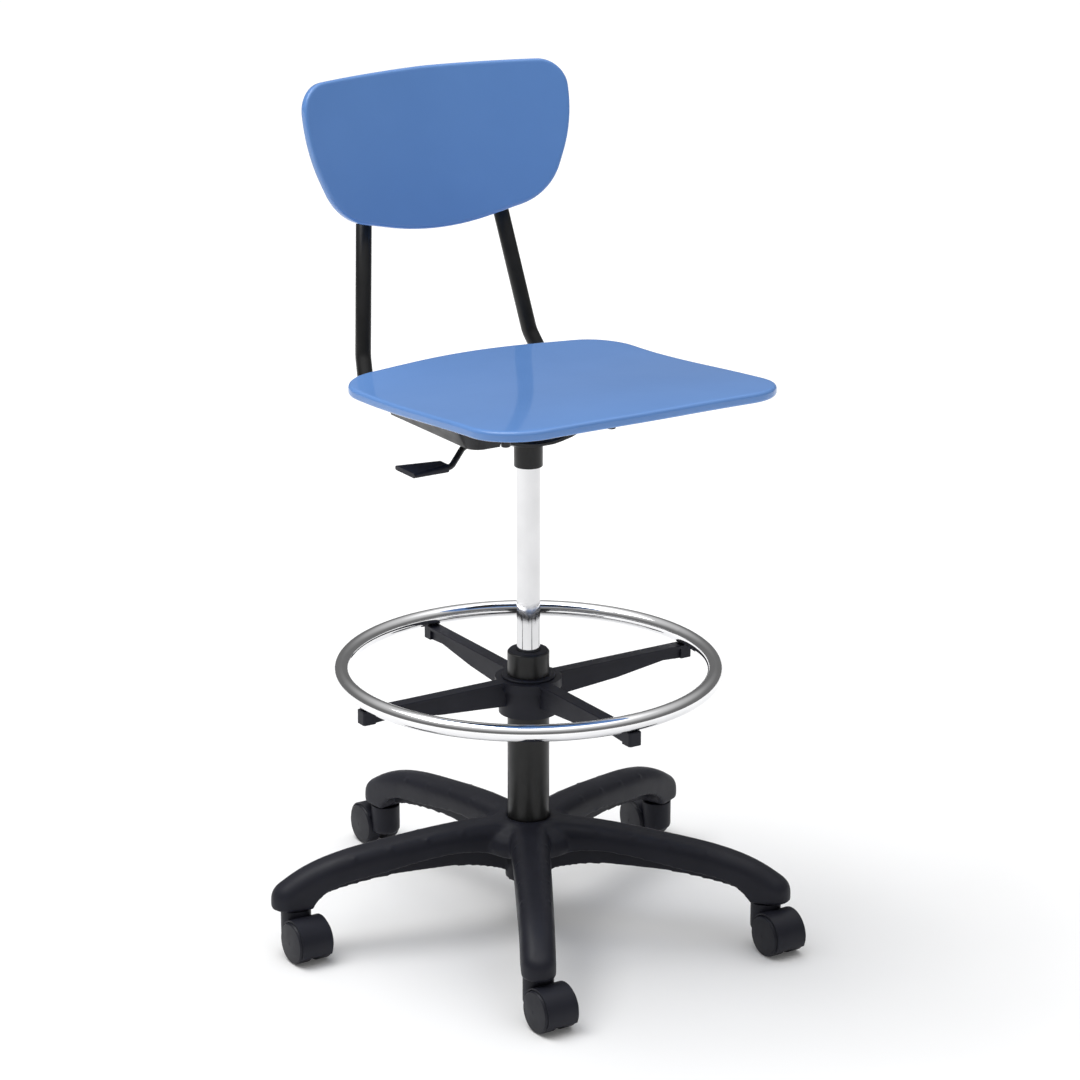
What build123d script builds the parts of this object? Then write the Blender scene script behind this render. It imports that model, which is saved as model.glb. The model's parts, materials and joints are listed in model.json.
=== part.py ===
from build123d import *
import os

# Drafting chair on a five-star base with a height-adjustable foot ring.
# Millimetres, +Z up. The origin is on the floor, on the column's axis. The sitter
# faces -Y, and +X is the sitter's left.

os.makedirs("parts", exist_ok=True)

# Casters: 50 mm hooded twin wheels on 11 mm stems
WHEEL_R = 25.0
WHEEL_OUTER = 23.8
WHEEL_INNER = 5.2
WHEEL_EDGE = 5.0
WHEEL_DOME_R = 220.0
CASTER_TRAIL = 27.0
AXLE_R = 3.0
AXLE_HALF = 19.5
HOOD_R = 27.6
HOOD_BORE_R = 25.6
HOOD_HALF = 19.8
HOOD_END_Z = 12.0
HOOD_REAR_Z = 42.0
WEB_HALF = 4.6
WEB_R = 21.0
NECK_R = 18.0
NECK_BOTTOM = 20.0
NECK_TOP = 57.3
STEM_R = 5.5
STEM_BOTTOM = 28.0
STEM_TOP = 84.0
STEM_FLANGE_R = 9.0
RUNNING_GAP = 0.06

# Five-star base
ARM_COUNT = 5
FIRST_ARM = -30.0
ARM_STEP = 360.0 / ARM_COUNT
STEM_CIRCLE_R = 293.4
ARM_TIP_R = 303.0
ARM_TIP_HALF = 20.0
ARM_HUB_HALF = 24.0
ARM_CROTCH_R = 9.0
ARM_EDGE_R = 17.0
ARM_WALL = 6.0
RIB_THICK = 3.0
TIP_UNDER_Z = 58.4
HUB_TOP = 135.5
HUB_BOTTOM = 56.0
HUB_TUBE_R = 28.0
HUB_RIM_R = 60.0
CAVITY_END_R = 274.0
CROSS_RIB_RADII = (90.0, 135.0, 180.0, 225.0)

# Column and gas lift
COLUMN_R = 25.0
COLUMN_FOOT_R = 23.2
COLUMN_BORE_R = 22.0
COLUMN_FOOT_BORE_R = 20.5
COLUMN_BOTTOM = 57.0
COLUMN_FLOOR = 62.0
COLUMN_TOP = 344.0
BUSH_BOTTOM = 262.0
BUSH_TOP = 345.5
CYLINDER_R = 14.0
CYLINDER_BORE_R = 12.0
CYLINDER_BOTTOM = 278.0
CYLINDER_CAP = 8.0
CYLINDER_CAVITY_TOP = 560.0
NECK_TAPER_R = 13.3
CYLINDER_TOP = 604.0
SLIDE_GAP = 0.1
ROD_R = 5.0
ROD_STUB_R = 4.0
ROD_FLANGE_R = 11.0
BEARING_TOP = 70.7
PISTON_BOTTOM = 292.0
PISTON_HEIGHT = 12.0
PIN_R = 4.0
PIN_BOTTOM = 582.0
PIN_TOP = 612.4

# Foot ring
RING_R = 222.3
RING_TUBE_R = 10.0
RING_WALL = 1.5
RING_Z = 322.0
SPIDER_TOP = 312.0
SPIDER_BOTTOM = 268.0
SPIDER_RIM_R = 40.0
SPIDER_RIM_HEIGHT = 11.0
SPIDER_BARREL_R = 35.5
COLLET_R = 29.0
COLLET_BOTTOM = 272.0
COLLET_FLANGE_R = 32.0
COLLET_TOP = 315.0
COLLET_GAP = 0.3
SPOKE_END_R = 230.0
SPOKE_FLANGE_HALF = 8.5
SPOKE_WEB_HALF = 5.5
SPOKE_LIP = 4.0
SPOKE_END_Z = 295.5
RING_SCREW_R = 2.5
RING_SCREW_HEAD = 3.5

# Seat frame
SOCKET_R = 17.0
SOCKET_BOTTOM = 572.0
SOCKET_TOP = 607.0
PAN_UNDER = 624.5
PAN_GAUGE = 3.0
PAN_HALF = 118.5
PAN_MIDDLE_HALF = 84.0
PAN_REAR = 95.0
PAN_FRONT = -36.0
WING_FRONT = -62.0
WING_REACH = 31.0
WING_ANGLE = 60.0
DISH_FLOOR = 604.0
DISH_RIM_R = 80.0
TUBE_R = 9.5
TUBE_WALL = 1.6
TUBE_BEND_R = 50.0
RAIL_Z = PAN_UNDER + PAN_GAUGE + TUBE_R
POST_HEAD = (73.5, 246.0, 975.0)
POST_ELBOW = (113.4, 186.6, 700.0)
POST_FOOT = (124.0, 148.0)
RAIL_KNEE = (106.0, 80.0)
RAIL_FRONT = (94.0, -68.0)
STRAP_Y = -66.0
STRAP_HALF_WIDTH = 8.0
STRAP_HALF_LENGTH = 94.0
STRAP_Z = 631.0
STRAP_GAUGE = 4.0

# Lever
LEVER_ROD_R = 3.6
LEVER_Z = 616.8
PIVOT_X = -30.0
PIVOT_Z = 623.0
PIVOT_R = 3.0
SLEEVE_R = 6.0
SLEEVE_HALF = 8.0
EAR_GAUGE = 3.0
PADDLE_Z = 593.0
PADDLE_INNER_X = -122.0
PADDLE_OUTER_X = -171.0

# Seat shell
SEAT_Z = 682.0
SEAT_SLOPE = 0.064
SEAT_GAUGE = 12.5
SEAT_FRONT = -266.0
SEAT_FRONT_BOW = 9.0
SEAT_FRONT_HALF = 199.0
SEAT_REAR = 142.5
SEAT_REAR_BOW = 25.0
SEAT_REAR_HALF = 194.0
SEAT_FRONT_CORNER_R = 64.0
SEAT_REAR_CORNER_R = 88.0
SEAT_EDGE_R = 5.6
SPACER_R = 11.0
BOLT_X = 72.0
REAR_BOLT_Y = 88.0
BOLT_R = 2.9
BOLT_HEAD_R = 5.5
FRONT_BOLT_HEAD = 9.0
REAR_BOLT_HEAD = 6.0
BOLT_INTO_SHELL = 7.0

# Backrest shell
BACK_CENTRE = (218.0, 916.0)
BACK_TILT = 13.0
BACK_CURVE_R = 550.0
BACK_GAUGE = 13.6
BACK_TOP = 93.0
BACK_TOP_BOW = 3.0
BACK_TOP_HALF = 182.0
BACK_SIDE = 12.0
BACK_SIDE_HALF = 180.5
BACK_BOTTOM = -108.0
BACK_BOTTOM_BOW = 34.5
BACK_BOTTOM_HALF = 145.0
BACK_TOP_CORNER_R = 38.0
BACK_SIDE_R = 160.0
BACK_BOTTOM_CORNER_R = 78.0
BACK_EDGE_R = 6.0
BACK_PAD_R = 9.0
BACK_PADS = (-46.0, 40.0)
SCREW_R = 2.4
SCREW_HEAD_R = 5.0


def write(node, shape):
    export_step(shape, f"parts/{node}.step")


def disc(radius, low, high):
    return Pos(0, 0, low) * Cylinder(radius, high - low, align=(Align.CENTER, Align.CENTER, Align.MIN))


def tube(outer, inner, low, high):
    return disc(outer, low, high) - disc(inner, low, high)


def cross_bar(radius, low, high, y=0.0, z=0.0):
    """A cylinder along X from low to high."""
    bar = Cylinder(radius, high - low, rotation=(0, 90, 0))
    return Pos((low + high) / 2, y, z) * bar


def block(low, high):
    """A box between two opposite corners."""
    size = [b - a for a, b in zip(low, high)]
    middle = [(a + b) / 2 for a, b in zip(low, high)]
    return Pos(*middle) * Box(*size)


def turned(edges):
    """The solid of revolution of a closed outline drawn as radius and height."""
    return revolve(make_face(Plane.XZ * Wire(edges)), axis=Axis.Z)


def turned_points(points):
    return revolve(Plane.XZ * Polygon(*points, align=None), axis=Axis.Z)


def around(count, first, shape):
    """Copies of a shape turned about the column's axis."""
    return [Rot(0, 0, first + index * 360.0 / count) * shape for index in range(count)]


def mirrored(shape):
    return mirror(shape, about=Plane.YZ)


# ---------------------------------------------------------------- star base


def arm_top(drop):
    """The arm's top edge from the hub to past its tip, lowered by drop."""
    points = [(62, HUB_TOP), (170, 127.5), (244, 116.5), (300, 95.0), (326, 77.0)]
    lowered = [(radius, height - drop) for radius, height in points]
    crown = Spline(*lowered, tangents=[(1, 0), (26, -19)])
    return [Line((0, HUB_TOP - drop), (62, HUB_TOP - drop)), crown]


def arm_section(floor, drop):
    """The turned solid between a floor curve, given from its outer end, and the top edge."""
    crown = arm_top(drop)
    tip = crown[1] @ 1
    outer = floor @ 0
    inner = floor @ 1
    closing = [
        Line(tip, (tip.X, outer.Y)),
        Line((tip.X, outer.Y), outer),
        floor,
        Line(inner, (0, inner.Y)),
        Line((0, inner.Y), (0, HUB_TOP - drop)),
    ]
    return turned(crown + closing)


def arm_plan(inset):
    """The plan of the star, with its outline moved inwards by inset."""
    hub = Circle(ARM_HUB_HALF - inset)
    tip = Pos(0, -ARM_TIP_R) * Circle(ARM_TIP_HALF - inset)
    arm = make_hull(hub.edges() + tip.edges())
    star = Sketch() + around(ARM_COUNT, FIRST_ARM, arm)
    crotches = star.vertices().filter_by(lambda v: v.center().length < HUB_RIM_R)
    return fillet(crotches, ARM_CROTCH_R + inset)


def free_edges(faces):
    """The edges of a patch of faces that no two of them share."""
    edges = [edge for face in faces for edge in face.edges()]
    return [edge for edge in edges if sum(edge.is_same(other) for other in edges) == 1]


def star_base():
    skirt = Spline((279, TIP_UNDER_Z), (261, 77), (206, 90.5), (128, 103), (80, 103.5), (40, 92))
    rib_foot = Spline((284, 60), (240, 72), (200, 78), (121, 81.5), (80, 79), (HUB_TUBE_R, 66))
    open_floor = Line((300, 20), (10, 20))
    body = extrude(arm_plan(0), 200) & arm_section(skirt, 0.0)
    upper = body.faces().filter_by(lambda f: f.normal_at().Z > 0.3)
    body = fillet(free_edges(upper), ARM_EDGE_R)
    hollow = extrude(arm_plan(ARM_WALL), 200) & arm_section(open_floor, ARM_WALL)
    body -= hollow & tube(CAVITY_END_R, HUB_TUBE_R, 0, 200)
    ribs = arm_section(rib_foot, ARM_WALL / 2)
    long_rib = ribs & block((-RIB_THICK / 2, -CAVITY_END_R - 4, 0), (RIB_THICK / 2, 0, 200))
    body += around(ARM_COUNT, FIRST_ARM, long_rib)
    rib_field = extrude(arm_plan(ARM_WALL / 2), 200) & arm_section(skirt, ARM_WALL / 2)
    for radius in CROSS_RIB_RADII:
        bar = Pos(0, -radius, 100) * Box(2 * ARM_HUB_HALF, RIB_THICK, 200)
        body += [rib_field & copy for copy in around(ARM_COUNT, FIRST_ARM, bar)]
    body += disc(HUB_TUBE_R, HUB_BOTTOM, HUB_TOP - ARM_WALL / 2)
    body -= column_outside() + disc(COLUMN_FOOT_R, 0, COLUMN_BOTTOM)
    socket = Pos(0, -STEM_CIRCLE_R, 0) * disc(STEM_R, 0, STEM_TOP + 1)
    return body - around(ARM_COUNT, FIRST_ARM, socket)


# ---------------------------------------------------------------- column and lift


def column_outside():
    """The column's outer surface: straight, with a taper that wedges into the hub."""
    points = [
        (0, COLUMN_BOTTOM),
        (COLUMN_FOOT_R, COLUMN_BOTTOM),
        (COLUMN_R, HUB_TOP),
        (COLUMN_R, COLUMN_TOP),
        (0, COLUMN_TOP),
    ]
    return turned_points(points)


def outer_column():
    bore = turned_points(
        [
            (0, COLUMN_FLOOR),
            (COLUMN_FOOT_BORE_R, COLUMN_FLOOR),
            (COLUMN_BORE_R, HUB_TOP),
            (COLUMN_BORE_R, COLUMN_TOP + 1),
            (0, COLUMN_TOP + 1),
        ]
    )
    body = column_outside()
    body = chamfer(body.edges().sort_by(Axis.Z)[-1], 1.0)
    return body - bore - disc(ROD_STUB_R + 0.3, 0, COLUMN_FLOOR + 1)


def column_guide_bush():
    lip = tube(COLUMN_R - 1.4, COLUMN_BORE_R - 1, COLUMN_TOP, BUSH_TOP)
    body = disc(COLUMN_BORE_R, BUSH_BOTTOM, BUSH_TOP) + lip
    body -= disc(CYLINDER_R + SLIDE_GAP, 0, BUSH_TOP + 1)
    rims = body.edges().filter_by(GeomType.CIRCLE).group_by(Axis.Z)[-1]
    return chamfer(rims, 0.8)


def thrust_bearing():
    """Two races with a ring of balls between them."""
    race = 2.4
    lower = tube(13, ROD_STUB_R + 0.4, COLUMN_FLOOR, COLUMN_FLOOR + race)
    upper = tube(13, ROD_STUB_R + 0.4, BEARING_TOP - race, BEARING_TOP)
    gap = BEARING_TOP - COLUMN_FLOOR - 2 * race
    cage = tube(12, 6, COLUMN_FLOOR + race, BEARING_TOP - race)
    ball = Pos(9, 0, (COLUMN_FLOOR + BEARING_TOP) / 2) * Sphere(gap / 2)
    return lower + upper + cage + around(10, 0, ball)


def piston_rod():
    shoulder = BEARING_TOP + 0.3
    stub = disc(ROD_STUB_R, COLUMN_BOTTOM - 5, shoulder)
    groove = tube(ROD_STUB_R + 1, ROD_STUB_R - 0.8, COLUMN_BOTTOM - 3, COLUMN_BOTTOM - 1.5)
    flange = disc(ROD_FLANGE_R, shoulder, shoulder + 3)
    rod = disc(ROD_R, shoulder, PISTON_BOTTOM + PISTON_HEIGHT)
    return stub + flange + rod - groove


def rod_clip():
    clip = tube(ROD_STUB_R + 4, ROD_STUB_R - 0.7, COLUMN_BOTTOM - 2.9, COLUMN_BOTTOM - 1.6)
    return clip - block((-2.2, 0, 0), (2.2, 20, 100))


def gas_piston():
    body = tube(CYLINDER_BORE_R - 0.2, ROD_R, PISTON_BOTTOM, PISTON_BOTTOM + PISTON_HEIGHT)
    seal_groove = tube(20, CYLINDER_BORE_R - 1.6, PISTON_BOTTOM + 5, PISTON_BOTTOM + 7.5)
    return body - seal_groove


def gas_cylinder():
    body = turned_points(
        [
            (0, CYLINDER_BOTTOM),
            (CYLINDER_R, CYLINDER_BOTTOM),
            (CYLINDER_R, SOCKET_BOTTOM),
            (NECK_TAPER_R, CYLINDER_TOP),
            (0, CYLINDER_TOP),
        ]
    )
    body -= disc(CYLINDER_BORE_R, CYLINDER_BOTTOM + CYLINDER_CAP, CYLINDER_CAVITY_TOP)
    body -= disc(ROD_R + SLIDE_GAP, 0, CYLINDER_BOTTOM + CYLINDER_CAP + 1)
    return body - disc(PIN_R + SLIDE_GAP, CYLINDER_CAVITY_TOP - 1, CYLINDER_TOP + 1)


def release_pin():
    pin = disc(PIN_R, PIN_BOTTOM, PIN_TOP)
    return fillet(pin.edges().sort_by(Axis.Z)[-1], 1.2)


def taper_socket():
    outer = disc(SOCKET_R, SOCKET_BOTTOM, SOCKET_TOP)
    outer = fillet(outer.edges().filter_by(GeomType.CIRCLE).sort_by(Axis.Z)[0], 1.0)
    bore = turned_points(
        [
            (0, SOCKET_BOTTOM - 1),
            (CYLINDER_R, SOCKET_BOTTOM - 1),
            (CYLINDER_R, SOCKET_BOTTOM),
            (NECK_TAPER_R, CYLINDER_TOP),
            (NECK_TAPER_R, SOCKET_TOP + 1),
            (0, SOCKET_TOP + 1),
        ]
    )
    return outer - bore


# ---------------------------------------------------------------- foot ring


def ring_screw_spaces(radius, top):
    """A hole at each spoke's end, open downwards."""
    hole = disc(radius, SPOKE_END_Z - 10, top)
    return around(4, 0, Pos(0, -RING_R, 0) * hole)


def foot_ring():
    hoop = Torus(RING_R, RING_TUBE_R) - Torus(RING_R, RING_TUBE_R - RING_WALL)
    return Pos(0, 0, RING_Z) * hoop


def spoke():
    """One arm of the spider, along -Y: a flat flange over a web that thins outwards."""
    start = SPIDER_BARREL_R - 4
    flange_low = (-SPOKE_FLANGE_HALF, -SPOKE_END_R, SPIDER_TOP - SPOKE_LIP)
    flange = block(flange_low, (SPOKE_FLANGE_HALF, -start, SPIDER_TOP))
    end_space = block(flange_low, (SPOKE_FLANGE_HALF, -RING_R, SPIDER_TOP))
    web_side = Polygon(
        (-start, SPIDER_TOP),
        (-start, 281),
        (-70, 284),
        (-124, 288),
        (-190, SPOKE_END_Z + 1.5),
        (-RING_R + 8, SPOKE_END_Z),
        (-SPOKE_END_R, SPOKE_END_Z),
        (-SPOKE_END_R, SPIDER_TOP),
        align=None,
    )
    web = extrude(Plane.YZ * web_side, SPOKE_WEB_HALF, both=True)
    end_low = (-SPOKE_FLANGE_HALF, -SPOKE_END_R, SPOKE_END_Z)
    end = block(end_low, (SPOKE_FLANGE_HALF, -RING_R + 8, SPIDER_TOP))
    end = fillet(end.edges().filter_by(Axis.Z).group_by(Axis.Y)[0], 3.0)
    arm = flange - end_space + web + end
    return fillet(arm.edges().filter_by(Axis.Y).group_by(Axis.Z)[-1], 1.0)


def foot_ring_spider():
    body = disc(SPIDER_BARREL_R, SPIDER_BOTTOM, SPIDER_TOP)
    body += disc(SPIDER_RIM_R, SPIDER_TOP - SPIDER_RIM_HEIGHT, SPIDER_TOP)
    body += around(4, 0, spoke())
    body -= disc(COLLET_R + COLLET_GAP, 0, SPIDER_TOP + 1)
    body -= disc(COLLET_FLANGE_R + COLLET_GAP, SPIDER_TOP - 3.3, SPIDER_TOP + 5)
    body -= Pos(0, 0, RING_Z) * Torus(RING_R, RING_TUBE_R)
    body -= ring_screw_spaces(2 * RING_SCREW_R, SPOKE_END_Z + RING_SCREW_HEAD)
    return body - ring_screw_spaces(RING_SCREW_R, RING_Z)


def foot_ring_collet():
    """The split sleeve that the spider's hub closes onto the column."""
    body = disc(COLLET_R, COLLET_BOTTOM, SPIDER_TOP) + disc(COLLET_FLANGE_R, SPIDER_TOP - 3, COLLET_TOP)
    body = chamfer(body.edges().sort_by(Axis.Z)[-1], 1.0)
    body -= disc(COLUMN_R + SLIDE_GAP, 0, COLLET_TOP + 1)
    slot = block((-1.2, -COLLET_FLANGE_R, 0), (1.2, 0, COLLET_BOTTOM + 34))
    return body - around(6, 30, slot)


def foot_ring_screws():
    shank = disc(RING_SCREW_R, SPOKE_END_Z, RING_Z - RING_TUBE_R + 2)
    head = disc(2 * RING_SCREW_R, SPOKE_END_Z, SPOKE_END_Z + RING_SCREW_HEAD)
    return Compound(children=around(4, 0, Pos(0, -RING_R, 0) * (shank + head)))


# ---------------------------------------------------------------- seat frame


def seat_pan():
    """The stamped plate: a flat floor, a dish around the socket and a raised wing each side."""
    gauge_top = PAN_UNDER + PAN_GAUGE
    floor = block((-PAN_HALF, PAN_FRONT, PAN_UNDER), (PAN_HALF, PAN_REAR, gauge_top))
    strip = block((PAN_MIDDLE_HALF, WING_FRONT, PAN_UNDER), (PAN_HALF, PAN_REAR, gauge_top))
    strip = chamfer(strip.edges().filter_by(Axis.Z).group_by(Axis.Y)[0], 8.0)
    wing = Box(WING_REACH, PAN_REAR - WING_FRONT - 14, PAN_GAUGE, align=(Align.MIN, Align.MAX, Align.MIN))
    wing = fillet(wing.edges().filter_by(Axis.Z).group_by(Axis.X)[-1], 5.0)
    wing = Pos(PAN_HALF - 0.6, PAN_REAR, PAN_UNDER) * Rot(0, -WING_ANGLE, 0) * wing
    side = strip + wing
    dish = turned_points(
        [
            (SOCKET_R, DISH_FLOOR),
            (38, DISH_FLOOR + 1),
            (52, DISH_FLOOR + 6),
            (DISH_RIM_R + 2, PAN_UNDER),
            (DISH_RIM_R + 2, gauge_top),
            (51, DISH_FLOOR + 9.5),
            (37, DISH_FLOOR + 4),
            (SOCKET_R, DISH_FLOOR + 3),
        ]
    )
    dish -= block((-DISH_RIM_R - 9, -DISH_RIM_R - 9, 0), (DISH_RIM_R + 9, PAN_FRONT, 900))
    body = floor + side + mirrored(side) - disc(DISH_RIM_R, 0, 900) + dish
    lever_slot = block((-106, -20, 607), (-41, 10, 900))
    return body - lever_slot - disc(SOCKET_R, 0, 900) - bolt_holes(REAR_BOLT_Y)


def bolt_holes(place_y):
    return [Pos(side * BOLT_X, place_y, 0) * disc(BOLT_R, 0, 900) for side in (-1, 1)]


def post_axis():
    """The left tube's centre line: down the post, round the elbow and forward under the seat."""
    return FilletPolyline(
        POST_HEAD,
        POST_ELBOW,
        (*POST_FOOT, RAIL_Z),
        (*RAIL_KNEE, RAIL_Z),
        (*RAIL_FRONT, RAIL_Z),
        radius=TUBE_BEND_R,
    )


def swept_round(path, radius):
    return sweep(Plane(origin=path @ 0, z_dir=path % 0) * Circle(radius), path=path)


def left_frame_tube():
    path = post_axis()
    body = swept_round(path, TUBE_R) - swept_round(path, TUBE_R - TUBE_WALL)
    for height in BACK_PADS:
        body -= screw_line(height, SCREW_R)
    return body


def tube_end_caps():
    """A plug in each open end of both tubes."""
    caps = []
    path = post_axis()
    for end, outward in ((0, -1), (1, 1)):
        mouth = Plane(origin=path @ end, z_dir=(path % end) * outward)
        head = extrude(mouth * Circle(TUBE_R), 2.5)
        head = fillet(head.edges().filter_by(GeomType.CIRCLE).sort_by(mouth_axis(mouth))[-1], 1.5)
        caps.append(head + extrude(mouth * Circle(TUBE_R - TUBE_WALL), -12))
    return Compound(children=caps + [mirrored(cap) for cap in caps])


def mouth_axis(mouth):
    return Axis(mouth.origin, mouth.z_dir)


def front_strap():
    low = (-STRAP_HALF_LENGTH, STRAP_Y - STRAP_HALF_WIDTH, STRAP_Z)
    high = (STRAP_HALF_LENGTH, STRAP_Y + STRAP_HALF_WIDTH, STRAP_Z + STRAP_GAUGE)
    rail = swept_round(post_axis(), TUBE_R)
    return block(low, high) - bolt_holes(STRAP_Y) - rail - mirrored(rail) - tube_end_caps()


def seat_bolts():
    bolts = []
    front = (STRAP_Y, STRAP_Z, FRONT_BOLT_HEAD)
    rear = (REAR_BOLT_Y, PAN_UNDER, REAR_BOLT_HEAD)
    for place_y, seat_face, head_height in (front, rear):
        head = disc(BOLT_HEAD_R, seat_face - head_height, seat_face)
        head = fillet(head.edges().filter_by(GeomType.CIRCLE).sort_by(Axis.Z)[0], 1.5)
        bolt = head + disc(BOLT_R, seat_face - 1, shell_underside(place_y) + BOLT_INTO_SHELL)
        bolts += [Pos(side * BOLT_X, place_y, 0) * bolt for side in (-1, 1)]
    return Compound(children=bolts)


# ---------------------------------------------------------------- lever


def lever_bracket():
    low = (PIVOT_X - SLEEVE_HALF, -SLEEVE_HALF - EAR_GAUGE - 0.3, DISH_FLOOR + 3.2)
    high = (PIVOT_X + 6, SLEEVE_HALF + EAR_GAUGE + 0.3, PIVOT_Z + 7)
    body = block(low, high)
    body -= block((-90, -SLEEVE_HALF - 0.3, DISH_FLOOR + 6), (0, SLEEVE_HALF + 0.3, 900))
    body -= disc(SOCKET_R + 0.2, 0, 900)
    return body - pivot_bar(PIVOT_R, SLEEVE_HALF + EAR_GAUGE + 5) - seat_pan()


def pivot_bar(radius, half):
    return Pos(PIVOT_X, 0, PIVOT_Z) * Cylinder(radius, 2 * half, rotation=(90, 0, 0))


def lever_pivot_pin():
    outer = SLEEVE_HALF + EAR_GAUGE + 0.3
    heads = pivot_bar(PIVOT_R + 2, outer + 1.6) - pivot_bar(PIVOT_R + 3, outer)
    return pivot_bar(PIVOT_R, outer + 1.6) + heads


def lever_rod():
    """From over the release pin, out through the pan's slot and down to the paddle."""
    path = FilletPolyline(
        (5, 0, LEVER_Z),
        (-68, 0, LEVER_Z),
        (-98, -13, 611),
        (-118, -21, PADDLE_Z + 1),
        (PADDLE_INNER_X - 24, -12, PADDLE_Z),
        radius=9.0,
    )
    body = swept_round(path, LEVER_ROD_R) + pivot_bar(SLEEVE_R, SLEEVE_HALF)
    return body - pivot_bar(PIVOT_R + RUNNING_GAP, SLEEVE_HALF + 1)


def paddle_plane(x, y):
    return Plane((x, y, PADDLE_Z), x_dir=(0, 1, 0), z_dir=(-1, 0, 0))


def lever_paddle():
    """A flat grip that widens and thins outwards from the rod."""
    inner = paddle_plane(PADDLE_INNER_X, -12) * RectangleRounded(24, 10, 4.5)
    outer = paddle_plane(PADDLE_OUTER_X, -7) * RectangleRounded(44, 5.5, 2.5)
    return loft([inner, outer]) - lever_rod()


# ---------------------------------------------------------------- seat and back shells


def seat_plan():
    """The seat's outline from above: straight sides, bowed ends and round corners."""
    points = [(SEAT_FRONT_HALF, SEAT_FRONT + SEAT_FRONT_BOW), (SEAT_REAR_HALF, SEAT_REAR - SEAT_REAR_BOW)]
    right_front, right_rear = points
    left_front, left_rear = [(-x, y) for x, y in points]
    edges = [
        ThreePointArc(left_front, (0, SEAT_FRONT), right_front),
        Line(right_front, right_rear),
        ThreePointArc(right_rear, (0, SEAT_REAR), left_rear),
        Line(left_rear, left_front),
    ]
    plan = make_face(Wire(edges))
    plan = fillet(plan.vertices().group_by(Axis.Y)[0], SEAT_FRONT_CORNER_R)
    return fillet(plan.vertices().group_by(Axis.Y)[-1], SEAT_REAR_CORNER_R)


def seat_top(y):
    return SEAT_Z - SEAT_SLOPE * y


def seat_section(drop):
    """The seat's top line from front to rear: a rolled front, a straight slope and a rear rise."""
    points = [
        (SEAT_FRONT - 12, seat_top(SEAT_FRONT) - 13),
        (SEAT_FRONT + 10, seat_top(SEAT_FRONT + 10) - 4.5),
        (SEAT_FRONT + 44, seat_top(SEAT_FRONT + 44)),
        (-100, seat_top(-100)),
        (30, seat_top(30)),
        (90, seat_top(90) + 3),
        (SEAT_REAR + 12, seat_top(SEAT_REAR) + 10),
    ]
    return Spline(*[(y, z - drop) for y, z in points])


def seat_sheet(drop, gauge):
    """The curved layer that starts drop under the seat's top line."""
    upper = seat_section(drop)
    lower = seat_section(drop + gauge)
    face = make_face(Wire([upper, Line(upper @ 1, lower @ 1), lower, Line(lower @ 0, upper @ 0)]))
    return extrude(Plane.YZ.offset(-260) * face, 520)


def seat_shell():
    shell = extrude(seat_plan(), 900) & seat_sheet(0, SEAT_GAUGE)
    rims = free_edges(shell.faces().filter_by(lambda f: abs(f.normal_at().Z) > 0.5))
    shell = fillet(rims, SEAT_EDGE_R)
    for place_x, place_y, foot in seat_fixings():
        top = shell_underside(place_y) + BOLT_INTO_SHELL + 0.5
        shell -= Pos(place_x, place_y, 0) * disc(BOLT_R, foot, top)
    return shell


def shell_underside(y):
    """The shell's lower face over the fixings, where the seat's line is nearly straight."""
    return seat_top(y) - SEAT_GAUGE


def seat_fixings():
    """Each fixing's place in plan, and the height of the face that its spacer stands on."""
    rows = ((STRAP_Y, STRAP_Z + STRAP_GAUGE), (REAR_BOLT_Y, PAN_UNDER + PAN_GAUGE))
    return [(side * BOLT_X, place_y, foot) for place_y, foot in rows for side in (-1, 1)]


def seat_spacers():
    """Round spacers that carry the shell over the strap and the pan."""
    below_shell = seat_sheet(SEAT_GAUGE, 900)
    spacers = []
    for place_x, place_y, foot in seat_fixings():
        post = tube(SPACER_R, BOLT_R, foot, SEAT_Z + 20)
        spacers.append(Pos(place_x, place_y, 0) * post & below_shell)
    return Compound(children=spacers)


def back_plane():
    """The backrest's own plane: X across, Y up along it, Z towards the sitter."""
    tilt = Rot(90 - BACK_TILT, 0, 0)
    return Plane(Pos(0, *BACK_CENTRE) * tilt)


def back_plan():
    points = [
        (BACK_TOP_HALF, BACK_TOP - BACK_TOP_BOW),
        (BACK_SIDE_HALF, BACK_SIDE),
        (BACK_BOTTOM_HALF, BACK_BOTTOM + BACK_BOTTOM_BOW),
    ]
    right_top, right_side, right_bottom = points
    left_top, left_side, left_bottom = [(-x, y) for x, y in points]
    edges = [
        ThreePointArc(left_top, (0, BACK_TOP), right_top),
        Line(right_top, right_side),
        Line(right_side, right_bottom),
        ThreePointArc(right_bottom, (0, BACK_BOTTOM), left_bottom),
        Line(left_bottom, left_side),
        Line(left_side, left_top),
    ]
    plan = make_face(Wire(edges))
    for height, radius in (
        (BACK_TOP - BACK_TOP_BOW, BACK_TOP_CORNER_R),
        (BACK_SIDE, BACK_SIDE_R),
        (BACK_BOTTOM + BACK_BOTTOM_BOW, BACK_BOTTOM_CORNER_R),
    ):
        corners = plan.vertices().filter_by(lambda v: abs(v.Y - height) < 0.5)
        plan = fillet(corners, radius)
    return plan


def back_screw_point(height):
    """Where a tube's centre line passes a pad at this height up the backrest."""
    target = (back_plane() * Pos(0, height, 0)).position.Z
    elbow = Vector(*POST_ELBOW)
    head = Vector(*POST_HEAD)
    return elbow + (head - elbow) * (target - elbow.Z) / (head.Z - elbow.Z)


def screw_line(height, radius, behind=20.0, ahead=14.0):
    """A cylinder square to the backrest, through the left tube's centre line."""
    facing = back_plane().z_dir
    start = back_screw_point(height) - facing * behind
    return extrude(Plane(origin=start, z_dir=facing) * Circle(radius), behind + ahead)


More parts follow.
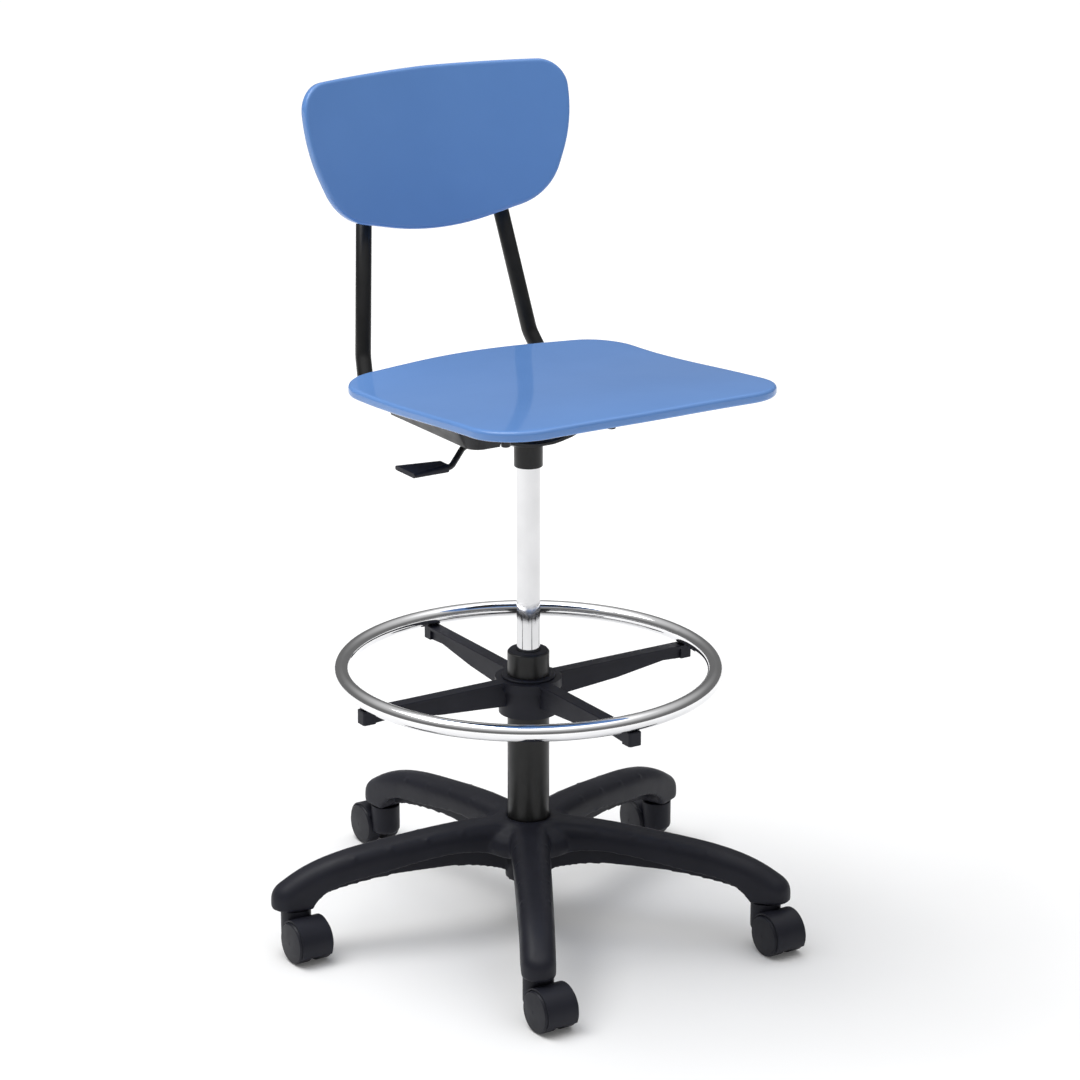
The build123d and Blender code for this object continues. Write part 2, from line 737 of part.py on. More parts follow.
def backrest_shell():
    outline = extrude(back_plan(), 60, both=True)
    outer = Cylinder(BACK_CURVE_R + BACK_GAUGE / 2, 500, rotation=(90, 0, 0))
    inner = Cylinder(BACK_CURVE_R - BACK_GAUGE / 2, 500, rotation=(90, 0, 0))
    shell = outline & (Pos(0, 0, BACK_CURVE_R) * (outer - inner))
    rims = free_edges(shell.faces().filter_by(lambda f: abs(f.normal_at().Z) > 0.6))
    shell = back_plane() * fillet(rims, BACK_EDGE_R)
    tube_space = swept_round(post_axis(), TUBE_R)
    for height in BACK_PADS:
        pad = screw_line(height, BACK_PAD_R, behind=0.0, ahead=22.0) - tube_space
        hole = screw_line(height, SCREW_R)
        shell += [pad, mirrored(pad)]
        shell -= [hole, mirrored(hole)]
    return shell


def back_screws():
    screws = []
    for height in BACK_PADS:
        head = screw_line(height, SCREW_HEAD_R, behind=TUBE_R + 2.4, ahead=-TUBE_R + 0.6)
        head -= swept_round(post_axis(), TUBE_R)
        screws.append(head + screw_line(height, SCREW_R, behind=TUBE_R, ahead=13.5))
    return Compound(children=screws + [mirrored(screw) for screw in screws])


# ---------------------------------------------------------------- casters


def caster_housing():
    """The neck, web and hood, trailing along -Y from the stem's axis."""
    hood = cross_bar(HOOD_R, -HOOD_HALF, HOOD_HALF, -CASTER_TRAIL, WHEEL_R)
    hood -= block((-40, -90, -10), (40, 90, HOOD_END_Z))
    hood -= block((-40, -CASTER_TRAIL, -10), (40, 90, HOOD_REAR_Z))
    neck = disc(NECK_R, NECK_BOTTOM, NECK_TOP)
    neck = fillet(neck.edges().filter_by(GeomType.CIRCLE).group_by(Axis.Z)[0], 7.0)
    neck = fillet(neck.edges().filter_by(GeomType.CIRCLE).group_by(Axis.Z)[-1], 1.2)
    body = hood + neck
    wheel_room = cross_bar(HOOD_BORE_R, WEB_HALF, HOOD_HALF + 1, -CASTER_TRAIL, WHEEL_R)
    body -= [wheel_room, mirrored(wheel_room)]
    web = cross_bar(WEB_R, -WEB_HALF, WEB_HALF, -CASTER_TRAIL, WHEEL_R)
    body += web - block((-40, -90, -10), (40, 90, HOOD_END_Z))
    body -= cross_bar(AXLE_R, -WEB_HALF - 1, WEB_HALF + 1, -CASTER_TRAIL, WHEEL_R)
    return body - disc(STEM_R + RUNNING_GAP, STEM_BOTTOM - 0.5, NECK_TOP + 1)


def caster_axle():
    return cross_bar(AXLE_R, -AXLE_HALF, AXLE_HALF, -CASTER_TRAIL, WHEEL_R)


def caster_wheel_left():
    """The wheel on the +X side, with a round shoulder and a shallow domed face."""
    wheel = disc(WHEEL_R, WHEEL_INNER, WHEEL_OUTER)
    wheel = fillet(wheel.edges().group_by(Axis.Z)[-1], WHEEL_EDGE)
    wheel = chamfer(wheel.edges().group_by(Axis.Z)[0], 0.8)
    wheel &= Pos(0, 0, WHEEL_OUTER - WHEEL_DOME_R) * Sphere(WHEEL_DOME_R)
    wheel -= disc(AXLE_R + RUNNING_GAP, 0, AXLE_HALF + 0.5)
    return Pos(0, -CASTER_TRAIL, WHEEL_R) * Rot(0, 90, 0) * wheel


def caster_stem():
    body = disc(STEM_R, STEM_BOTTOM, STEM_TOP) + disc(STEM_FLANGE_R, NECK_TOP + 0.3, TIP_UNDER_Z)
    body = chamfer(body.edges().sort_by(Axis.Z)[-1], 1.2)
    return body - tube(STEM_R + 1, STEM_R - 0.5, 74, 76)


def write_casters():
    pieces = {
        "caster_housing": caster_housing(),
        "caster_axle": caster_axle(),
        "caster_wheel_left": caster_wheel_left(),
        "caster_wheel_right": mirrored(caster_wheel_left()),
        "caster_stem": caster_stem(),
    }
    for index in range(ARM_COUNT):
        arm = Rot(0, 0, FIRST_ARM + index * ARM_STEP) * Pos(0, -STEM_CIRCLE_R, 0)
        heading = 180 if arm.position.Y > 100 else 0
        place = Pos(arm.position) * Rot(0, 0, heading)
        for name, piece in pieces.items():
            write(f"{name}_{index + 1}", place * piece)


# ---------------------------------------------------------------- export

SINGLE_PARTS = [
    star_base,
    outer_column,
    column_guide_bush,
    thrust_bearing,
    piston_rod,
    rod_clip,
    gas_piston,
    gas_cylinder,
    release_pin,
    taper_socket,
    foot_ring,
    foot_ring_spider,
    foot_ring_collet,
    foot_ring_screws,
    seat_pan,
    left_frame_tube,
    tube_end_caps,
    front_strap,
    seat_bolts,
    lever_bracket,
    lever_pivot_pin,
    lever_rod,
    lever_paddle,
    seat_spacers,
    seat_shell,
    backrest_shell,
    back_screws,
]

for make in SINGLE_PARTS:
    write(make.__name__, make())
write("right_frame_tube", mirrored(left_frame_tube()))
write_casters()
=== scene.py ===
import json
import math

import bmesh
import bpy
from mathutils import Matrix, Vector

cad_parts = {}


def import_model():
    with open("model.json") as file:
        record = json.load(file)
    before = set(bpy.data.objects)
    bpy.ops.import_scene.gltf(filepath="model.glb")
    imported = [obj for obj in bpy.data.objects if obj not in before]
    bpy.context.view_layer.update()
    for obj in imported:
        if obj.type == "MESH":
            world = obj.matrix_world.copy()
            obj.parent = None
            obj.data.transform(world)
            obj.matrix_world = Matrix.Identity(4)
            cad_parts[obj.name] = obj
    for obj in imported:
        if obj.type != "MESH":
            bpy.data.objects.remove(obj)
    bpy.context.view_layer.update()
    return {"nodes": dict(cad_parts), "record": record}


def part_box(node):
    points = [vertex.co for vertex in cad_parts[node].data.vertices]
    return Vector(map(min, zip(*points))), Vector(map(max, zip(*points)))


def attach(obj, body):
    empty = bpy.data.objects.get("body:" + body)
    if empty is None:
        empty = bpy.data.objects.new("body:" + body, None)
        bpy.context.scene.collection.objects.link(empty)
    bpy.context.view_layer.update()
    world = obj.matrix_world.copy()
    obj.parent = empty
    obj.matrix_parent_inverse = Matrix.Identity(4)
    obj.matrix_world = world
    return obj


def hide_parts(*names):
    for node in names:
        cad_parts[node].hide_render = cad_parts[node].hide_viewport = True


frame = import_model()
nodes = frame["nodes"]
record = frame["record"]
node_slot = {part["node"]: part["material_slot"] for part in record["subparts"]}
node_body = {node: body for body, held in record["behaviour"]["bodies"].items() for node in held}


# ---------------------------------------------------------------- materials

# A noise value mostly lies between these two.
NOISE_LOW = 0.3
NOISE_HIGH = 0.7


class Shader:
    """A Principled material whose colour, roughness and relief come from procedural nodes."""

    def __init__(self, name, rough, metallic=0.0, specular=0.5):
        self.material = bpy.data.materials.new(name)
        self.material.use_nodes = True
        self.tree = self.material.node_tree
        self.bsdf = self.tree.nodes["Principled BSDF"]
        self.bsdf.inputs["Metallic"].default_value = metallic
        self.bsdf.inputs["Roughness"].default_value = rough
        self.bsdf.inputs["Specular IOR Level"].default_value = specular
        self.place = self.node("ShaderNodeTexCoord").outputs["Object"]

    def node(self, kind, **inputs):
        made = self.tree.nodes.new(kind)
        for key, value in inputs.items():
            made.inputs[key].default_value = value
        return made

    def link(self, source, target):
        self.tree.links.new(source, target)

    def stretched(self, x, y, z):
        """Object coordinates scaled by axis; a small scale draws a texture out along its axis."""
        mapping = self.node("ShaderNodeMapping", Scale=(x, y, z))
        self.link(self.place, mapping.inputs["Vector"])
        return mapping.outputs["Vector"]

    def noise(self, scale, detail, vector=None):
        made = self.node("ShaderNodeTexNoise", Scale=scale, Detail=detail)
        self.link(vector or self.place, made.inputs["Vector"])
        return made.outputs["Fac"]

    def spots(self, scale):
        made = self.node("ShaderNodeTexVoronoi", Scale=scale)
        self.link(self.place, made.inputs["Vector"])
        return made.outputs["Distance"]

    def spread(self, source, low, high, at_low=NOISE_LOW, at_high=NOISE_HIGH):
        """The source mapped so that at_low becomes low and at_high becomes high."""
        made = self.node("ShaderNodeMapRange")
        made.inputs["From Min"].default_value = at_low
        made.inputs["From Max"].default_value = at_high
        made.inputs["To Min"].default_value = low
        made.inputs["To Max"].default_value = high
        self.link(source, made.inputs["Value"])
        return made.outputs["Result"]

    def colour(self, source, dark, light):
        ramp = self.node("ShaderNodeValToRGB")
        first, last = ramp.color_ramp.elements
        first.position = NOISE_LOW
        first.color = (*dark, 1)
        last.position = NOISE_HIGH
        last.color = (*light, 1)
        self.link(source, ramp.inputs["Fac"])
        self.link(ramp.outputs["Color"], self.bsdf.inputs["Base Color"])

    def roughness(self, source, low, high):
        self.link(self.spread(source, low, high), self.bsdf.inputs["Roughness"])

    def relief(self, *layers):
        """Each layer is a height source, its strength and its depth in metres."""
        normal = None
        for source, strength, depth in layers:
            bump = self.node("ShaderNodeBump", Strength=strength, Distance=depth)
            self.link(source, bump.inputs["Height"])
            if normal is not None:
                self.link(normal, bump.inputs["Normal"])
            normal = bump.outputs["Normal"]
        self.link(normal, self.bsdf.inputs["Normal"])


def shell_blue():
    m = Shader("shell_blue_moulded", 0.3, specular=0.4)
    m.colour(m.noise(9, 3), (0.120, 0.260, 0.580), (0.130, 0.276, 0.606))
    m.roughness(m.noise(24, 4), 0.06, 0.10)
    m.relief((m.noise(60, 2), 0.05, 0.0004), (m.noise(1800, 2), 0.06, 0.00005))
    return m.material


def frame_black():
    m = Shader("frame_black_powder", 0.36, specular=0.3)
    m.colour(m.noise(40, 4), (0.010, 0.010, 0.010), (0.015, 0.015, 0.015))
    m.roughness(m.noise(70, 4), 0.30, 0.40)
    m.relief((m.noise(1400, 3), 0.16, 0.0001))
    return m.material


def nylon_black():
    m = Shader("nylon_black_moulded", 0.5, specular=0.22)
    m.colour(m.noise(14, 4), (0.011, 0.0115, 0.018), (0.015, 0.0155, 0.023))
    m.roughness(m.noise(30, 4), 0.44, 0.54)
    m.relief((m.spots(1500), 0.12, 0.0001), (m.noise(500, 3), 0.08, 0.0002))
    return m.material


def wheel_black():
    m = Shader("wheel_black_moulded", 0.45, specular=0.22)
    m.colour(m.noise(35, 4), (0.010, 0.0105, 0.016), (0.014, 0.0145, 0.021))
    m.roughness(m.noise(60, 4), 0.36, 0.50)
    m.relief((m.noise(1600, 3), 0.12, 0.0001))
    return m.material


def chrome():
    m = Shader("chrome_plate", 0.06, metallic=1.0)
    m.colour(m.noise(25, 4), (0.80, 0.80, 0.81), (0.88, 0.88, 0.89))
    m.roughness(m.noise(90, 5), 0.035, 0.085)
    m.relief((m.noise(600, 3, vector=m.stretched(1, 1, 0.05)), 0.03, 0.00005))
    return m.material


def hard_chrome():
    m = Shader("hard_chrome_ground", 0.08, metallic=1.0)
    m.colour(m.noise(25, 4), (0.64, 0.64, 0.65), (0.70, 0.70, 0.71))
    m.roughness(m.noise(90, 5, vector=m.stretched(1, 1, 6)), 0.05, 0.10)
    m.relief((m.noise(600, 3, vector=m.stretched(0.05, 0.05, 1)), 0.02, 0.00005))
    return m.material


def pan_steel():
    m = Shader("pan_painted_steel", 0.40, metallic=0.2, specular=0.2)
    m.colour(m.noise(18, 4), (0.024, 0.024, 0.025), (0.034, 0.034, 0.035))
    m.roughness(m.noise(60, 4), 0.30, 0.42)
    m.relief((m.noise(900, 3), 0.14, 0.0001))
    return m.material


def bright_steel():
    m = Shader("bright_ground_steel", 0.3, metallic=1.0)
    m.colour(m.noise(50, 4), (0.46, 0.46, 0.47), (0.58, 0.58, 0.59))
    m.roughness(m.noise(700, 3, vector=m.stretched(1, 1, 0.04)), 0.22, 0.36)
    m.relief((m.noise(1500, 2, vector=m.stretched(1, 1, 0.03)), 0.10, 0.00005))
    return m.material


def screw_black():
    m = Shader("screw_black_oxide", 0.34, metallic=0.4)
    m.colour(m.noise(60, 4), (0.018, 0.018, 0.019), (0.032, 0.032, 0.033))
    m.roughness(m.noise(200, 4), 0.26, 0.42)
    m.relief((m.noise(1800, 3), 0.12, 0.00008))
    return m.material


# One maker for each material slot of the record, under the slot's own name.
MATERIALS = {make.__name__: make() for make in (
    shell_blue, frame_black, nylon_black, wheel_black, chrome, pan_steel, bright_steel, screw_black)}


def paint(obj, slot):
    obj.data.materials.clear()
    obj.data.materials.append(MATERIALS[slot])


for name, obj in nodes.items():
    paint(obj, node_slot[name])
# The cylinder's ground plating is darker than the foot ring's bright chrome.
nodes["gas_cylinder"].data.materials[0] = hard_chrome()


# ---------------------------------------------------------------- mesh helpers

SIDEWAYS = Vector((1, 0, 0))
ARC_SPANS = 12
ROUND_SIDES = 32
MOST_OF_A_SIDE = 0.49


def arc_corner(before, corner, after, radius):
    """The arc that rounds a corner, kept within half of each side."""
    to_before = before - corner
    to_after = after - corner
    half_turn = to_before.angle(to_after) / 2
    room = MOST_OF_A_SIDE * min(to_before.length, to_after.length)
    reach = min(radius / math.tan(half_turn), room)
    start = corner + to_before.normalized() * reach
    end = corner + to_after.normalized() * reach
    middle = (to_before.normalized() + to_after.normalized()).normalized()
    centre = corner + middle * (reach / math.cos(half_turn))
    arm = start - centre
    axis = arm.cross(end - centre)
    turn = arm.angle(end - centre) / ARC_SPANS
    return [centre + Matrix.Rotation(turn * k, 3, axis) @ arm for k in range(ARC_SPANS + 1)]


def bent_path(points, radius):
    """Straight runs joined by arcs of one radius."""
    path = [points[0]]
    for before, corner, after in zip(points, points[1:], points[2:]):
        path += arc_corner(before, corner, after, radius)
    return path + [points[-1]]


def heading(path, i):
    """The direction of an open path at its point i."""
    return (path[min(i + 1, len(path) - 1)] - path[max(i - 1, 0)]).normalized()


def evenly(path, count):
    """Points at equal steps round a closed path."""
    closed = path + path[:1]
    lengths = [0.0]
    for a, b in zip(closed, closed[1:]):
        lengths.append(lengths[-1] + (b - a).length)
    points = []
    span = 0
    for k in range(count):
        want = lengths[-1] * k / count
        while lengths[span + 1] < want:
            span += 1
        share = (want - lengths[span]) / (lengths[span + 1] - lengths[span])
        points.append(closed[span].lerp(closed[span + 1], share))
    return points


def round_angles(count):
    return [2 * math.pi * k / count for k in range(count)]


def join_rings(made, rings):
    for low, high in zip(rings, rings[1:]):
        for i in range(len(low)):
            j = (i + 1) % len(low)
            made.faces.new((low[i], low[j], high[j], high[i]))


def cap_ring(made, last, middle):
    """A fan of faces from the last ring to a point in its middle."""
    tip = made.verts.new(middle)
    for i in range(len(last)):
        made.faces.new((last[i], last[(i + 1) % len(last)], tip))


def add_round(made, stations):
    """A closed round body through stations (centre, direction, radius)."""
    angles = round_angles(ROUND_SIDES)
    rings = []
    for centre, direction, radius in stations:
        across = direction.cross(SIDEWAYS).normalized()
        other = direction.cross(across).normalized()
        ring = [centre + (across * math.cos(a) + other * math.sin(a)) * radius for a in angles]
        rings.append([made.verts.new(p) for p in ring])
    join_rings(made, rings)
    cap_ring(made, rings[0], stations[0][0])
    cap_ring(made, rings[-1], stations[-1][0])


def finished(name, made):
    """The object of a mesh that has been built, shaded smooth, with its faces turned outward."""
    bmesh.ops.recalc_face_normals(made, faces=made.faces)
    mesh = bpy.data.meshes.new(name)
    made.to_mesh(mesh)
    made.free()
    mesh.polygons.foreach_set("use_smooth", [True] * len(mesh.polygons))
    obj = bpy.data.objects.new(name, mesh)
    bpy.context.scene.collection.objects.link(obj)
    return obj


def stand_for(obj, name):
    """The object takes the place, the body and the finish of a CAD node."""
    paint(obj, node_slot[name])
    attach(obj, node_body[name])
    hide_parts(name)


# ---------------------------------------------------------------- seat and back

EDGE_R = 0.0042
EDGE_SPANS = 6
OUTLINE_POINTS = 280
# The rings of each face, as shares of the way from its middle to its edge.
FACE_RINGS = (0.985, 0.96, 0.93, 0.89, 0.84, 0.78, 0.71, 0.63, 0.54, 0.44, 0.33, 0.21, 0.09)


def rounded_outline(half):
    """A mirrored outline, evenly spaced, from corners (x, y, radius) that run down one side."""
    corners = [(Vector((-x, y, 0)), r) for x, y, r in half]
    corners += [(Vector((x, y, 0)), r) for x, y, r in reversed(half) if x > 0]
    path = []
    for i, (corner, radius) in enumerate(corners):
        before = corners[i - 1][0]
        after = corners[(i + 1) % len(corners)][0]
        path += arc_corner(before, corner, after, radius)
    return evenly(path, OUTLINE_POINTS)


def outward(outline):
    """The outline's normals in its own plane, away from its middle."""
    normals = []
    for i in range(len(outline)):
        along = outline[(i + 1) % len(outline)] - outline[i - 1]
        normals.append(Vector((-along.y, along.x, 0)).normalized())
    if sum(n.dot(p) for n, p in zip(normals, outline)) < 0:
        normals = [-n for n in normals]
    return normals


def rim_profile(thick):
    """The edge's section from the lower face to the upper one: (inset, height)."""
    flat = thick / 2 - EDGE_R
    profile = []
    for side in (-1, 1):
        for k in range(EDGE_SPANS + 1):
            turn = math.pi / 2 * (k / EDGE_SPANS - (side < 0))
            profile.append((EDGE_R * (1 - math.cos(turn)), side * flat + EDGE_R * math.sin(turn)))
    return profile


def shell_mesh(name, outline, thick, place):
    """A closed sheet with a rounded edge; place gives the point at (plan point, height)."""
    normals = outward(outline)
    centre = sum(outline, Vector()) / len(outline)
    made = bmesh.new()

    def inset_by(depth):
        return [p - n * depth for p, n in zip(outline, normals)]

    def ring(points, height):
        return [made.verts.new(place(p, height)) for p in points]

    def face_ring(share, height):
        return ring([centre.lerp(p, share) for p in inset_by(EDGE_R)], height)

    rings = [face_ring(share, -thick / 2) for share in reversed(FACE_RINGS)]
    rings += [ring(inset_by(depth), height) for depth, height in rim_profile(thick)]
    rings += [face_ring(share, thick / 2) for share in FACE_RINGS]
    join_rings(made, rings)
    cap_ring(made, rings[0], place(centre, -thick / 2))
    cap_ring(made, rings[-1], place(centre, thick / 2))
    return finished(name, made)


SEAT_THICK = 0.0119
SEAT_HALF_WIDTH = 0.2
SEAT_LEVEL = 0.68186
SEAT_SLOPE = 0.01248
SEAT_BOWL = 0.0105
SEAT_ROLL = 0.00701
SEAT_CROWN = 0.00343
SEAT_OUTLINE = ((0, 0.1425, 0.6), (0.1939, 0.1171, 0.0896), (0.1948, 0.0139, 0.36),
                (0.1993, -0.2566, 0.0633), (0, -0.2656, 0.9))


def seat_surface(point, height):
    """The seat is lowest behind its middle, rises forward and levels off; its sides fall a little."""
    across = point.x / SEAT_HALF_WIDTH
    along = point.y / SEAT_HALF_WIDTH
    top = SEAT_LEVEL - SEAT_SLOPE * along + SEAT_BOWL * along**2
    top += SEAT_ROLL * along**3 - SEAT_CROWN * across**2
    return Vector((point.x, point.y, top - SEAT_THICK / 2 + height))


def moulded_seat():
    outline = rounded_outline(SEAT_OUTLINE)
    stand_for(shell_mesh("seat_moulding", outline, SEAT_THICK, seat_surface), "seat_shell")


BACK_THICK = 0.0137
BACK_TILT = math.radians(12.97)
BACK_CENTRE = Vector((0, 0.2181, 0.9158))
BACK_CURVE_R = 0.551
BACK_UP = Vector((0, math.sin(BACK_TILT), math.cos(BACK_TILT)))
BACK_REAR = Vector((0, math.cos(BACK_TILT), -math.sin(BACK_TILT)))
BACK_OUTLINE = ((0, 0.0931, 0.9), (0.1808, 0.0902, 0.0343), (0.1806, 0.0121, 0.228),
                (0.1448, -0.0731, 0.0768), (0, -0.1078, 0.5))


def back_surface(point, height):
    """The backrest curves forward at its sides and leans back; height is measured towards its rear."""
    forward = Vector((0, -point.x**2 / (2 * BACK_CURVE_R), 0))
    return BACK_CENTRE + Vector((point.x, 0, 0)) + BACK_UP * point.y + BACK_REAR * height + forward


def moulded_back():
    outline = rounded_outline(BACK_OUTLINE)
    stand_for(shell_mesh("back_moulding", outline, BACK_THICK, back_surface), "backrest_shell")


# ---------------------------------------------------------------- frame

TUBE_R = 0.0095
TUBE_BEND_R = 0.035
POST_HEAD = Vector((0.0735, 0.2460, 0.9750))
POST_ELBOW = Vector((0.1163, 0.1823, 0.6800))
POST_FOOT = Vector((0.1262, 0.1560, 0.6370))
RAIL_KNEE = Vector((0.1060, 0.0800, 0.6370))
RAIL_FRONT = Vector((0.0940, -0.0680, 0.6370))
TUBE_POINTS = (POST_HEAD, POST_ELBOW, POST_FOOT, RAIL_KNEE, RAIL_FRONT)


def frame_tubes():
    """Each tube is the back post, its elbow under the seat and the seat's rail."""
    for name, side in (("left_frame_tube", 1), ("right_frame_tube", -1)):
        path = bent_path([Vector((p.x * side, p.y, p.z)) for p in TUBE_POINTS], TUBE_BEND_R)
        made = bmesh.new()
        add_round(made, [(centre, heading(path, i), TUBE_R) for i, centre in enumerate(path)])
        stand_for(finished(name + "_bent", made), name)


PAD_HEIGHTS = (-0.046, 0.040)
PAD_INTO_TUBE = 0.002
PAD_STEM_R = 0.009
# The pad's foot, from inside the backrest outward: (depth past its rear face, radius).
PAD_FOOT = ((-0.001, 0.0130), (0.0005, 0.0125), (0.0015, 0.0105), (0.003, 0.0095))


def back_pads():
    """Round bosses that join the backrest to the posts."""
    made = bmesh.new()
    for side in (-1, 1):
        for up in PAD_HEIGHTS:
            level = (BACK_CENTRE + BACK_UP * up).z
            share = (level - POST_ELBOW.z) / (POST_HEAD.z - POST_ELBOW.z)
            on_post = POST_ELBOW.lerp(POST_HEAD, share)
            on_post.x *= side
            offset = on_post - back_surface(Vector((on_post.x, 0, 0)), 0)
            foot = back_surface(Vector((on_post.x, offset.dot(BACK_UP), 0)), 0)
            profile = [(BACK_THICK / 2 + depth, radius) for depth, radius in PAD_FOOT]
            profile.append((offset.dot(BACK_REAR) - TUBE_R + PAD_INTO_TUBE, PAD_STEM_R))
            add_round(made, [(foot + BACK_REAR * depth, BACK_REAR, radius) for depth, radius in profile])
    pads = finished("back_pads", made)
    paint(pads, "shell_blue")
    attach(pads, "seat_assembly")


WING_ANGLE = math.radians(60)
WING_REACH = 0.031
WING_GAUGE = 0.003
WING_CORNER_R = 0.016
WING_FOLD_X = 0.1185
WING_FOOT_Z = 0.6245
PAST_PAN_REAR = 0.018
PAST_PAN_FRONT = 0.008
ALONG_PAN_FRONT = 0.036
NARROWING = 0.55
NARROWS_FROM = 0.5


def pan_wings():
    """The pan's turned-up edge, along each side and round its front corner, where it narrows."""
    low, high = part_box("seat_pan")
    rear_y = high[1] + PAST_PAN_REAR
    front_y = low[1] - PAST_PAN_FRONT
    corners = [Vector((WING_FOLD_X, rear_y, WING_FOOT_Z)), Vector((WING_FOLD_X, front_y, WING_FOOT_Z)),
               Vector((WING_FOLD_X - ALONG_PAN_FRONT, front_y, WING_FOOT_Z))]
    path = bent_path(corners, WING_CORNER_R)
    for name, side in (("left_pan_wing", 1), ("right_pan_wing", -1)):
        made = bmesh.new()
        rings = []
        for i, point in enumerate(path):
            along = heading(path, i)
            out = Vector((-along.y, along.x, 0))
            share = i / (len(path) - 1)
            reach = WING_REACH * (1 - NARROWING * max(0.0, share - NARROWS_FROM) / (1 - NARROWS_FROM))
            rise = out * math.cos(WING_ANGLE) + Vector((0, 0, math.sin(WING_ANGLE)))
            inward = -out * WING_GAUGE
            section = [point, point + rise * reach, point + rise * reach + inward, point + inward]
            rings.append([made.verts.new((p.x * side, p.y, p.z)) for p in section])
        join_rings(made, rings)
        for last in (rings[0], rings[-1]):
            made.faces.new(last)
        wing = finished(name, made)
        wing.data.polygons.foreach_set("use_smooth", [False] * len(wing.data.polygons))
        paint(wing, "pan_steel")
        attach(wing, "seat_assembly")


# ---------------------------------------------------------------- base

VOXEL = 0.002
RELAX_ROUNDS = 12
RELAX_SHARE = 0.5
DOME_SIDES = 72
# The dome's closed section, from its inner edge over the top and back underneath: (radius, height).
DOME_SECTION = ((0.0265, 0.1335), (0.040, 0.1310), (0.052, 0.1255), (0.060, 0.1175),
                (0.063, 0.108), (0.060, 0.099), (0.045, 0.096), (0.0265, 0.096))


def hub_dome(shape):
    """A low dome round the hub that fills the roots of the arms."""
    angles = round_angles(DOME_SIDES)
    rings = []
    for radius, height in DOME_SECTION:
        around = [(radius * math.cos(a), radius * math.sin(a), height) for a in angles]
        rings.append([shape.verts.new(p) for p in around])
    join_rings(shape, rings + rings[:1])
    bmesh.ops.recalc_face_normals(shape, faces=shape.faces)


def moulded_base():
    """The CAD base and the dome in one mesh, with creases rounded as a moulding's are."""
    shape = bmesh.new()
    shape.from_mesh(nodes["star_base"].data)
    hub_dome(shape)
    mesh = bpy.data.meshes.new("star_base_rough")
    shape.to_mesh(mesh)
    shape.free()
    made = bpy.data.objects.new("star_base_moulded", mesh)
    bpy.context.scene.collection.objects.link(made)
    remesh = made.modifiers.new("remesh", "REMESH")
    remesh.mode = "VOXEL"
    remesh.voxel_size = VOXEL
    remesh.use_smooth_shade = True
    relax = made.modifiers.new("relax", "SMOOTH")
    relax.factor = RELAX_SHARE
    relax.iterations = RELAX_ROUNDS
    graph = bpy.context.evaluated_depsgraph_get()
    made.data = bpy.data.meshes.new_from_object(made.evaluated_get(graph))
    made.modifiers.clear()
    made.data.polygons.foreach_set("use_smooth", [True] * len(made.data.polygons))
    stand_for(made, "star_base")


moulded_seat()
moulded_back()
back_pads()
frame_tubes()
pan_wings()
moulded_base()


# ---------------------------------------------------------------- stage

FLOOR_HALF = 40.0
GLOW_NEAR = 0.06
GLOW_FAR = 0.28
GLOW_FROM_R = 0.6
GLOW_TO_R = 2.6


def floor():
    """White paper that brightens away from the chair, so that its edge is never seen."""
    mesh = bpy.data.meshes.new("floor")
    corners = [(x * FLOOR_HALF, y * FLOOR_HALF, 0) for x, y in ((-1, -1), (1, -1), (1, 1), (-1, 1))]
    mesh.from_pydata(corners, [], [(0, 1, 2, 3)])
    made = bpy.data.objects.new("floor", mesh)
    bpy.context.scene.collection.objects.link(made)
    m = Shader("floor_paper", 0.85, specular=0.2)
    m.colour(m.noise(3, 2), (0.85, 0.85, 0.85), (0.87, 0.87, 0.87))
    length = m.node("ShaderNodeVectorMath")
    length.operation = "LENGTH"
    m.link(m.place, length.inputs[0])
    m.bsdf.inputs["Emission Color"].default_value = (1, 1, 1, 1)
    glow = m.spread(length.outputs["Value"], GLOW_NEAR, GLOW_FAR, GLOW_FROM_R, GLOW_TO_R)
    m.link(glow, m.bsdf.inputs["Emission Strength"])
    mesh.materials.append(m.material)


# The studio's brightness: (height, level), from 0 at the horizon and below it to 1 overhead.
STUDIO_LEVELS = ((0.0, 0.16), (0.32, 0.17), (0.44, 0.25), (0.75, 0.72), (1.0, 2.15))


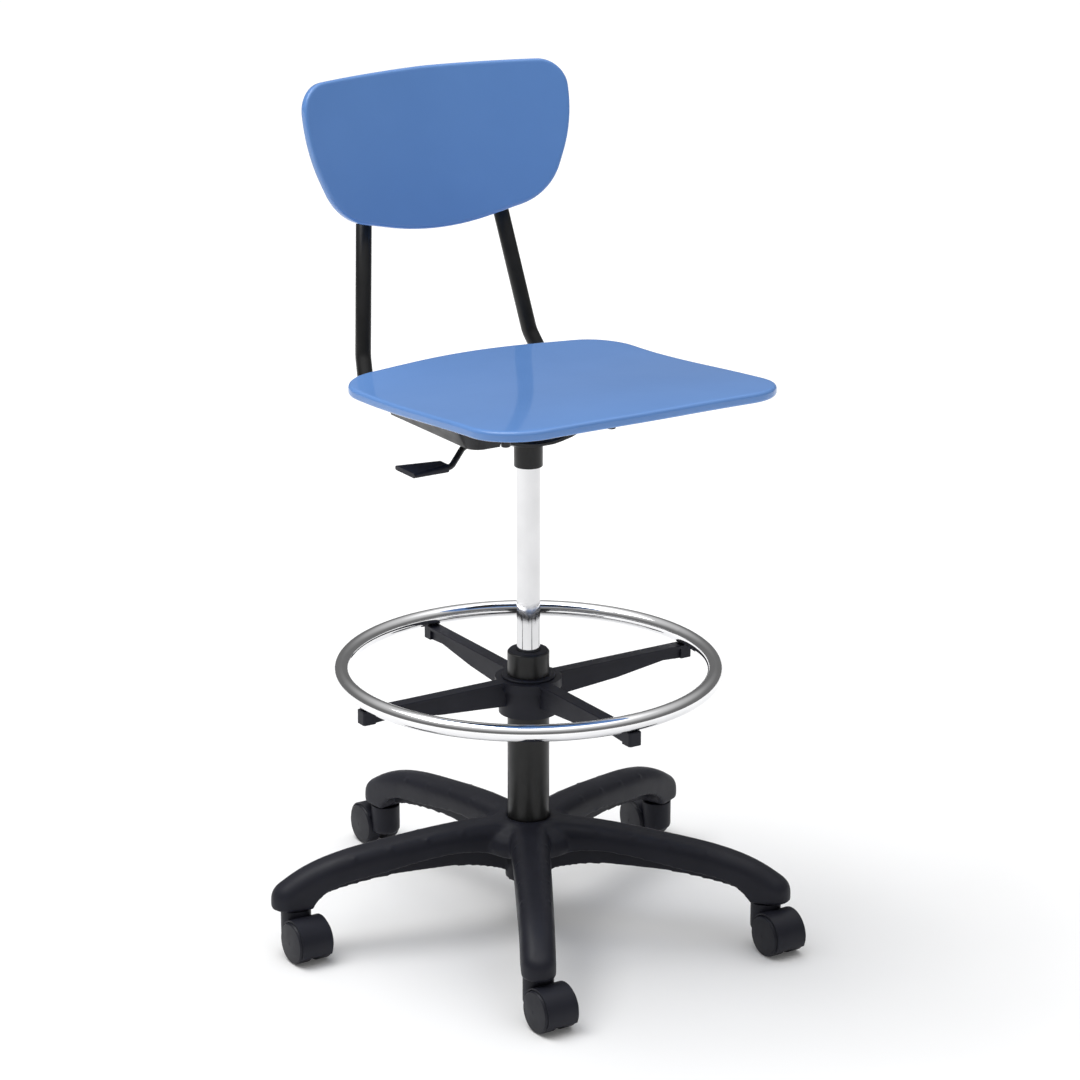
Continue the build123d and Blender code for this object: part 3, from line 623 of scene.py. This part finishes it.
def world():
    """A studio that is dim at the horizon and bright overhead, behind plain white for the camera."""
    made = bpy.data.worlds.new("studio")
    bpy.context.scene.world = made
    made.use_nodes = True
    tree = made.node_tree
    background = tree.nodes["Background"]
    place = tree.nodes.new("ShaderNodeTexCoord")
    split = tree.nodes.new("ShaderNodeSeparateXYZ")
    tree.links.new(place.outputs["Generated"], split.inputs["Vector"])
    height = tree.nodes.new("ShaderNodeValToRGB")
    stops = height.color_ramp.elements
    for position, _ in STUDIO_LEVELS[1:-1]:
        stops.new(position)
    for stop, (_, level) in zip(stops, STUDIO_LEVELS):
        stop.color = (level, level, level, 1)
    tree.links.new(split.outputs["Z"], height.inputs["Fac"])
    path = tree.nodes.new("ShaderNodeLightPath")
    shown = tree.nodes.new("ShaderNodeMixRGB")
    shown.inputs["Color2"].default_value = (1, 1, 1, 1)
    tree.links.new(path.outputs["Is Camera Ray"], shown.inputs["Fac"])
    tree.links.new(height.outputs["Color"], shown.inputs["Color1"])
    tree.links.new(shown.outputs["Color"], background.inputs["Color"])


CAMERA_PLACE = Vector((-2.2115, -3.5117, 1.7923))
CAMERA_AIM = Vector((0, 0, 0.4809))
LENS_MM = 123.4
SENSOR_MM = 36.0
SIDE_SHIFT = 0.01074
FARTHEST = 200.0


def camera():
    data = bpy.data.cameras.new("camera")
    data.sensor_width = SENSOR_MM
    data.lens = LENS_MM
    data.shift_x = SIDE_SHIFT
    data.clip_end = FARTHEST
    made = bpy.data.objects.new("camera", data)
    made.location = CAMERA_PLACE
    made.rotation_euler = (CAMERA_AIM - CAMERA_PLACE).to_track_quat("-Z", "Y").to_euler()
    bpy.context.scene.collection.objects.link(made)
    bpy.context.scene.camera = made


KEY_PLACE = Vector((-1.3, 0.9, 4.2))
KEY_AIM = Vector((0, 0, 0.3))
KEY_SIZE = 2.8
KEY_WATTS = 95


def key_light():
    """A square softbox overhead, behind the chair on the lever's side."""
    data = bpy.data.lights.new("key", "AREA")
    data.size = KEY_SIZE
    data.energy = KEY_WATTS
    made = bpy.data.objects.new("key", data)
    made.location = KEY_PLACE
    made.rotation_euler = (KEY_AIM - KEY_PLACE).to_track_quat("-Z", "Y").to_euler()
    bpy.context.scene.collection.objects.link(made)


floor()
world()
camera()
key_light()
bpy.context.scene.view_settings.view_transform = "Standard"
